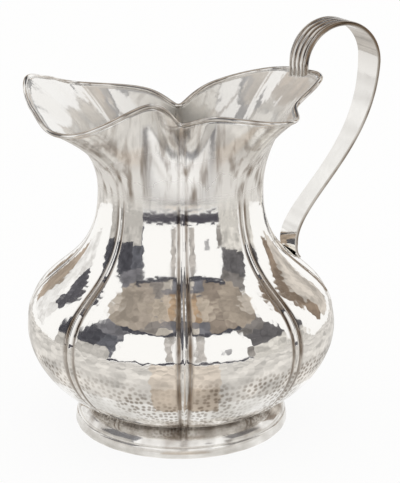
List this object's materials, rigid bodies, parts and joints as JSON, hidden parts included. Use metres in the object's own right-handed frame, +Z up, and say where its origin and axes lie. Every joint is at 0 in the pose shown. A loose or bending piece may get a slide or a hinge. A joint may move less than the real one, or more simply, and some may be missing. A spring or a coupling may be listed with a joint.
{
  "type": "water jug",
  "caption": "Lobed hammered-silver water jug with a pinched pouring lip, a rim wire, a domed ring foot and a reeded strap handle arching from the lip to the shoulder.",
  "frame": {"origin": "on the table under the middle of the jug's plan box, so the body axis lies 15.5 mm towards the spout", "axes": "+Z up, +X towards the handle, +Y across the jug"},
  "size_m": [0.1972, 0.1662, 0.2126],
  "materials": {
    "body_wall": "hammered polished silver",
    "rim_wire": "polished silver wire",
    "foot_collar": "polished silver",
    "foot_band": "polished silver",
    "handle_strap": "polished silver, reeded"
  },
  "bodies": {
    "root": {"body_wall": "body_wall", "rim_wire": "rim_wire", "foot_collar": "foot_collar", "foot_band": "foot_band", "handle_strap": "handle_strap"}
  },
  "joints": []
}
